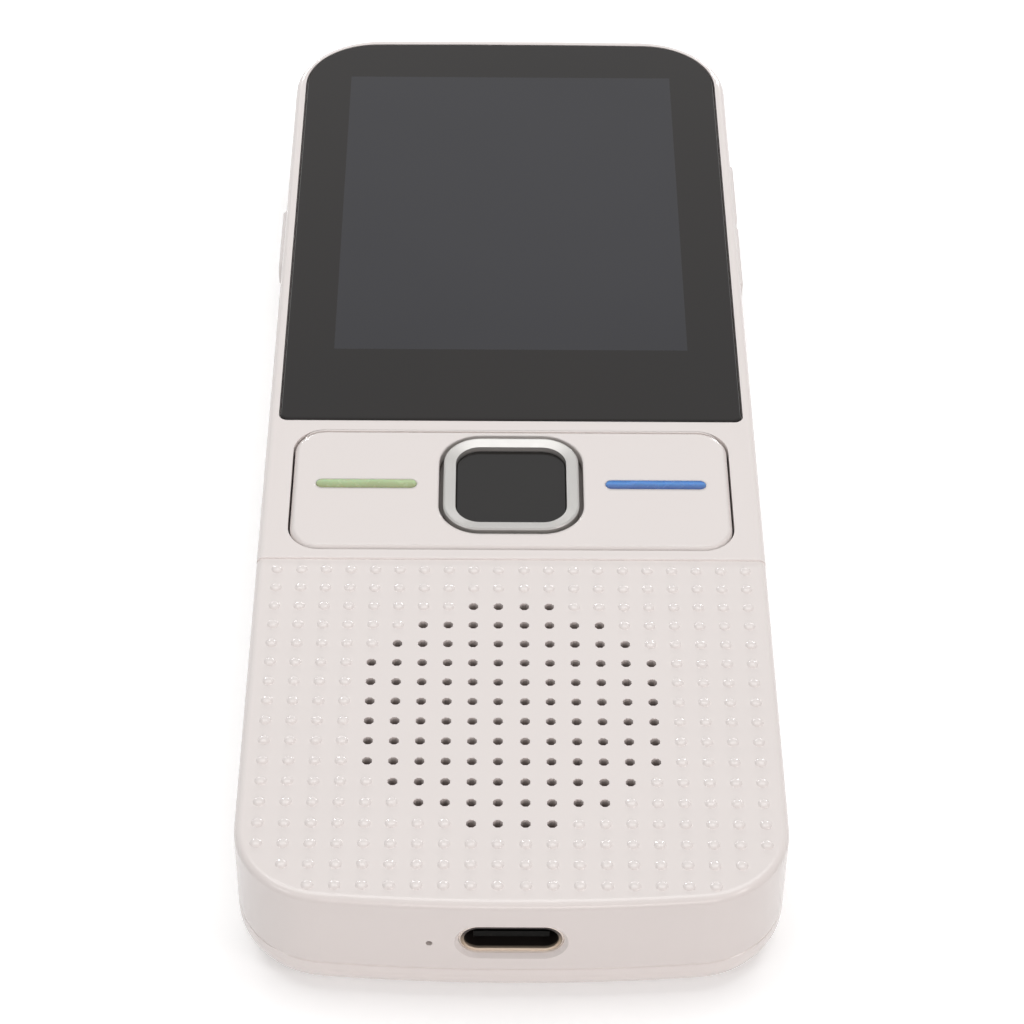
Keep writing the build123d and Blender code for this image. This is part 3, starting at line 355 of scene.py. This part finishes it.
def lens(name, stops):
    """Light bar: coloured clear plastic, with a ramp from its near to its far edge that paints a
    highlight band and shaded edges.
    """
    t = Material(name)
    low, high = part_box("green_light_bar")
    middle = (low.y + high.y) / 2
    drift = t.spread(t.noise(2.5), -0.08, 0.08)
    across = t.remap(t.axis("Y"), middle - BAR_HALF, middle + BAR_HALF, 0.0, 1.0)
    gloss = t.spread(t.noise(0.8), 0.2, 0.3)
    t.shader(t.ramp(t.math("ADD", across, drift), stops), gloss, t.bump(t.noise(0.4), 0.002, 0.4),
             Subsurface_Weight=0.25, Subsurface_Scale=0.0006)
    return t.mat


def printed_glass():
    """Cover glass over its print: warm black round the edge, a little paler over the display."""
    t = Material("cover_glass")
    inside = []
    for letter, middle, half in (("X", 0.0, WINDOW_HALF[0]), ("Y", WINDOW_Y, WINDOW_HALF[1])):
        inside.append(t.remap(t.distance(letter, middle), half - WINDOW_SOFTNESS,
                              half + WINDOW_SOFTNESS, 1.0, 0.0))
    window = t.math("MULTIPLY", *inside)
    cloud = t.spread(t.noise(30.0), 0.0, 1.0)
    ink = t.mix(cloud, srgb(17, 12, 10), srgb(21, 15, 12))
    display = t.mix(cloud, srgb(40, 40, 45), srgb(44, 44, 49))
    t.shader(t.mix(window, ink, display), t.spread(t.noise(9.0), 0.02, 0.05), IOR=1.42)
    return t.mat


def display_face():
    """Dark matt face of the display panel."""
    t = Material("display")
    cloud = t.spread(t.noise(30.0), 0.0, 1.0)
    t.shader(t.mix(cloud, srgb(26, 28, 32), srgb(32, 34, 38)), t.spread(t.noise(5.0), 0.3, 0.4),
             t.bump(t.noise(0.2), 0.001, 0.3), Specular_IOR_Level=0.0)
    return t.mat


# ---------------------------------------------------------------- materials
SHELL = srgb(235, 228, 225)

# the front shell carries the painted shade of the sound holes
shell_front = moulded("shell_front", SHELL, 0.21, tone=0.015, painted_shade=painted_hole_shade)
# painted light: the back cover is the shell plastic made 6% paler, to lift its downward faces
shell_back = moulded("shell_back", scaled(SHELL, 1.06), 0.22, tone=0.015)
key_white = moulded("key_white", SHELL, 0.21, tone=0.015, soft_mm=0.45)
grey_plastic = moulded("grey_plastic", srgb(150, 142, 138))
dark_plastic = moulded("dark_plastic", srgb(32, 32, 34), 0.45)
light_plastic = moulded("light_plastic", srgb(232, 230, 222))
soft_rubber = moulded("soft_rubber", srgb(204, 195, 190), 0.7, grain_mm=0.2)
seal = moulded("seal", srgb(250, 242, 234), 0.5, grain_mm=0.2)
foam = moulded("foam", srgb(40, 38, 38), 0.9, grain_mm=0.3, depth_mm=0.03, tone=0.2)
cell_wrap = moulded("cell_wrap", srgb(198, 200, 204), 0.3, grain_mm=0.6, depth_mm=0.01)
film = moulded("film", srgb(58, 54, 50), 0.35)
flex = moulded("flex", srgb(178, 118, 48), 0.3, grain_mm=0.3, depth_mm=0.003, tone=0.1)
board = moulded("board", srgb(26, 86, 56), 0.3, grain_mm=0.5, depth_mm=0.006, tone=0.15)
mesh_mat = moulded("mesh", srgb(62, 54, 50), 0.75, grain_mm=0.15, depth_mm=0.02, tone=0.2)
port_black = moulded("port_black", srgb(10, 10, 8), 0.45, grain_mm=0.2, depth_mm=0.002,
                     Specular_IOR_Level=0.08)
steel = metal("steel", srgb(188, 190, 192), 0.28, stretch=(1, 12, 1))
magnet = metal("magnet", srgb(150, 152, 156), 0.35)
bezel_metal = metal("bezel_metal", srgb(189, 187, 184), 0.34, depth_mm=0.0004, tone=0.02,
                    share=0.45, grain_mm=0.6)
cap_dark = moulded("cap_dark", srgb(17, 14, 12), 0.16, grain_mm=0.3, depth_mm=0.001,
                   Specular_IOR_Level=0.42)
port_steel = port_metal()
# ramps from near to far edge: painted shade at the edges, painted highlight in the lighter band
green_lens = lens("green_lens", ((0.05, srgb(160, 170, 128)), (0.45, srgb(172, 189, 142)),
                                 (0.75, srgb(188, 211, 164)), (0.95, srgb(180, 198, 158))))
blue_lens = lens("blue_lens", ((0.05, srgb(72, 100, 160)), (0.35, srgb(78, 122, 184)),
                               (0.62, srgb(94, 150, 222)), (0.9, srgb(56, 116, 188))))

NODE_MATERIALS = (
    (shell_front, ("front_shell",)),
    (shell_back, ("back_cover",)),
    (key_white, ("key_plate", "power_button", "volume_rocker")),
    (printed_glass(), ("cover_glass",)),
    (display_face(), ("display_panel",)),
    (green_lens, ("green_light_bar",)),
    (blue_lens, ("blue_light_bar",)),
    (bezel_metal, ("button_bezel",)),
    (cap_dark, ("button_cap",)),
    (grey_plastic, ("button_carrier",)),
    (port_steel, ("usb_shell",)),
    (port_black, ("usb_tongue",)),
    (soft_rubber, ("microphone_boot",)),
    (mesh_mat, ("grille_mesh",)),
    (magnet, ("speaker_magnet",)),
    (film, ("speaker_diaphragm",)),
    (cell_wrap, ("battery",)),
    (board, ("main_board", "port_board")),
    (flex, ("display_flex", "link_flex", "antenna")),
    (foam, ("glass_tape", "speaker_gasket", "speaker_pad", "battery_pad")),
    (light_plastic, ("battery_plug", "green_led", "blue_led")),
    (steel, ("backlight_tray", "rocker_pin", "board_screws", "microphone", "shield_can",
             "left_key_dome", "centre_key_dome", "right_key_dome")),
    (dark_plastic, ("display_connector", "speaker_frame", "processor", "memory_chip",
                    "power_switch", "volume_up_switch", "volume_down_switch",
                    "port_link_connector", "main_link_connector")),
)


def put(node, material):
    """Gives a CAD node a finished material in every slot."""
    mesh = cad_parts[node].data
    if not mesh.materials:
        mesh.materials.append(material)
    for i in range(len(mesh.materials)):
        mesh.materials[i] = material


for material, nodes in NODE_MATERIALS:
    for node in nodes:
        put(node, material)


# ---------------------------------------------------------------- mesh helpers
def mesh_object(name, bm, material):
    mesh = bpy.data.meshes.new(name)
    bm.to_mesh(mesh)
    bm.free()
    mesh.materials.append(material)
    obj = bpy.data.objects.new(name, mesh)
    bpy.context.scene.collection.objects.link(obj)
    return obj


def new_piece(name, bm, material, body, smooth=False):
    """Adds a piece that isn't in the CAD and hangs it on a body."""
    obj = mesh_object(name, bm, material)
    for face in obj.data.polygons:
        face.use_smooth = smooth
    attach(obj, body)


def closed_band(bm, inner, outer, ring=False):
    """Solid band between two rows of (front, back) points; a ring joins up with its start."""
    rows = [[[bm.verts.new(point) for point in pair] for pair in row] for row in (inner, outer)]
    count = len(inner)
    for k in range(count if ring else count - 1):
        (ia, ib), (ja, jb) = rows[0][k], rows[0][(k + 1) % count]
        (oa, ob), (pa, pb) = rows[1][k], rows[1][(k + 1) % count]
        bm.faces.new((ia, ja, pa, oa))
        bm.faces.new((ib, ob, pb, jb))
        bm.faces.new((oa, pa, pb, ob))
        bm.faces.new((ia, ib, jb, ja))
    if not ring:
        for k in (0, -1):
            (ia, ib), (oa, ob) = rows[0][k], rows[1][k]
            bm.faces.new((ia, oa, ob, ib))
    bmesh.ops.recalc_face_normals(bm, faces=bm.faces)


def rounded_ends(centre_x, start, end, step):
    """Arc centres and angles of two rounded ends, the right one first."""
    half = (start + end) // 2
    turns = [(centre_x, math.radians(a)) for a in range(start, half + 1, step)]
    return turns + [(-centre_x, math.radians(a)) for a in range(half, end + 1, step)]


# ---------------------------------------------------------------- raised dots of the field
def dot_spots():
    """Places of the dots: every place of the field's grid that is no sound hole."""
    last_hole_row = len(HOLE_ROWS) - 1
    spots = []
    for row in range(-ROWS_ABOVE_GRILLE, len(HOLE_ROWS) + len(LOW_ROW_COLUMNS)):
        low_row = max(0, row - last_hole_row)
        y = GRILLE_Y + (last_hole_row / 2 - row) * ROW_PITCH + low_row * LOW_ROW_RISE
        count = LOW_ROW_COLUMNS[low_row - 1] if low_row else FIELD_COLUMNS
        holes = HOLE_ROWS[row] if 0 <= row <= last_hole_row else 0
        for index in range(count):
            step = index - (count - 1) / 2
            if abs(step) > holes / 2:
                x = step * COLUMN_PITCH + math.copysign(MIDDLE_GAP_EXTRA / 2, step)
                spots.append((x, y))
    return spots


def add_dot(bm, x, y):
    """Low dome with a soft foot."""
    last = None
    for r in range(DOT_RINGS):
        a = r / DOT_RINGS
        radius = DOT_RADIUS * (1 - a * a * DOT_BELLY - a * DOT_TAPER)
        level = DOT_HEIGHT * math.sin(a * math.pi / 2) ** DOT_CURVE if r else -DOT_ROOT
        ring = [bm.verts.new((x + radius * math.cos(2 * math.pi * i / DOT_SIDES),
                              y + radius * math.sin(2 * math.pi * i / DOT_SIDES),
                              FIELD_LEVEL + level)) for i in range(DOT_SIDES)]
        if last:
            for i in range(DOT_SIDES):
                after = (i + 1) % DOT_SIDES
                bm.faces.new((last[i], last[after], ring[after], ring[i]))
        last = ring
    top = bm.verts.new((x, y, FIELD_LEVEL + DOT_HEIGHT))
    for i in range(DOT_SIDES):
        bm.faces.new((last[i], last[(i + 1) % DOT_SIDES], top))


def field_dots():
    bm = bmesh.new()
    for x, y in dot_spots():
        add_dot(bm, x, y)
    new_piece("field_dots", bm, shell_front, "housing", smooth=True)


# ---------------------------------------------------------------- fillers of the narrow gaps
def plate_seal():
    """Soft lip in the gap along the plate's upper edge, lower at its ends.

    The plate rocks about Y, so the lip is also thinner where the gap faces along X.
    """
    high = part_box("key_plate")[1]
    bottom, top = high.z - LIP_DEPTH, high.z - LIP_SINK
    cx, cy = high.x - PLATE_CORNER, high.y - PIVOT_REACH - PLATE_CORNER
    rows = []
    for outer in (False, True):
        row = []
        for x, a in rounded_ends(cx, 0, 180, LIP_TURN):
            thinned = LIP_THINNING * abs(math.cos(a))
            radius = PLATE_CORNER + (PLATE_GAP - LIP_CLEARANCE - thinned if outer else SNUG)
            share = max(LIP_END_HEIGHT, min(1.0, math.sin(a) * LIP_RISE)) ** LIP_CURVE
            place = x + radius * math.cos(a), cy + radius * math.sin(a)
            row.append(((*place, bottom + (top - bottom) * share), (*place, bottom)))
        rows.append(row)
    bm = bmesh.new()
    closed_band(bm, *rows)
    new_piece("plate_seal", bm, shell_front, "key_plate")


def port_seal():
    """Pale ring that fills the gap round the port's metal shell, its face sloping inwards."""
    low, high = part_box("usb_shell")
    middle = (low.z + high.z) / 2
    shell_radius = (high.z - low.z) / 2
    rows = []
    for away in (SNUG, PORT_GAP - SNUG):
        radius = shell_radius + away
        row = []
        for x, a in rounded_ends(high.x - shell_radius, -90, 270, PORT_RING_TURN):
            px, pz = x + radius * math.cos(a), middle + radius * math.sin(a)
            row.append(((px, low.y - PORT_RING_LEAD + away, pz),
                        (px, low.y + PORT_RING_DEPTH, pz)))
        rows.append(row)
    bm = bmesh.new()
    closed_band(bm, *rows, ring=True)
    new_piece("port_seal", bm, seal, "housing")


def carrier_guides():
    """Two rounded tabs of the button's carrier, beside its upper corners."""
    bm = bmesh.new()
    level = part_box("button_carrier")[1].z - GUIDE_SINK - GUIDE_SIZE[2] / 2
    for side in (-1, 1):
        made = bmesh.ops.create_cube(bm, size=1.0)["verts"]
        bmesh.ops.scale(bm, vec=GUIDE_SIZE, verts=made)
        bmesh.ops.translate(bm, vec=(side * GUIDE_X, GUIDE_Y, level), verts=made)
    bmesh.ops.bevel(bm, geom=bm.edges[:], offset=GUIDE_ROUNDING, segments=2, profile=0.7,
                    affect="EDGES")
    new_piece("carrier_guides", bm, grey_plastic, "centre_button")


field_dots()
plate_seal()
port_seal()
carrier_guides()


# ---------------------------------------------------------------- floor, world and light
def stage_floor():
    """Plain pale floor, a little brighter to the camera than by the lamps alone."""
    bm = bmesh.new()
    for x, y in ((-1, -1), (1, -1), (1, 1), (-1, 1)):
        bm.verts.new((x * FLOOR_HALF, y * FLOOR_HALF, 0))
    bm.faces.new(bm.verts)
    t = Material("floor")
    sheet = t.shader(srgb(244, 244, 244), 0.9, t.bump(t.noise(2.0), 0.02, 0.2),
                     Specular_IOR_Level=0.0)
    glow = t.add("ShaderNodeEmission")
    glow.inputs["Color"].default_value = (1, 1, 1, 1)
    t.feed(glow.inputs["Strength"], t.math("MULTIPLY", t.backdrop_ray(), FLOOR_GLOW))
    both = t.add("ShaderNodeAddShader")
    t.feed(both.inputs[0], sheet.outputs[0])
    t.feed(both.inputs[1], glow.outputs[0])
    t.feed(t.out.inputs["Surface"], both.outputs[0])
    floor = mesh_object("floor", bm, t.mat)


def set_world():
    world = bpy.data.worlds.new("world")
    bpy.context.scene.world = world
    t = Tree(world, "ShaderNodeOutputWorld")
    back = t.add("ShaderNodeBackground")
    back.inputs["Color"].default_value = (1, 1, 1, 1)
    t.feed(back.inputs["Strength"], t.remap(t.backdrop_ray(), 0.0, 1.0, WORLD_LIGHT, 1.0))
    t.feed(t.out.inputs["Surface"], back.outputs[0])


def area_light(name, place, aim, size, watts, color=(1.0, 1.0, 1.0)):
    data = bpy.data.lights.new(name, "AREA")
    data.shape = "RECTANGLE"
    data.size, data.size_y = size
    data.energy = watts
    data.color = color
    lamp = bpy.data.objects.new(name, data)
    bpy.context.scene.collection.objects.link(lamp)
    lamp.location = place
    lamp.rotation_mode = "QUATERNION"
    lamp.rotation_quaternion = (Vector(aim) - Vector(place)).to_track_quat("-Z", "Y")


def studio_lamps():
    """Large key light from above, four small lamps for the corners, and a warm fill in front."""
    grille = (0, -0.05, 0)
    area_light("key_light", (0.0, 0.2, 1.08), (0, 0, 0), (1.4, 0.7), 8.6)
    for name, x in (("back_left", -0.34), ("back_right", 0.34)):
        area_light(name, (x, 0.98, 0.25), (0, -0.03, 0), (0.16, 0.12), 1.6)
    area_light("side_left", (-0.73, -0.56, 0.52), grille, (0.2, 0.2), 0.75)
    area_light("side_right", (0.73, -0.56, 0.52), grille, (0.2, 0.2), 1.1, (1.0, 0.93, 0.91))
    area_light("front_fill", (0.2, -1.2, 0.3), grille, (0.8, 0.4), 3.5, (1.0, 0.9, 0.88))


stage_floor()
set_world()
studio_lamps()

scene = bpy.context.scene
scene.view_settings.view_transform = "Standard"
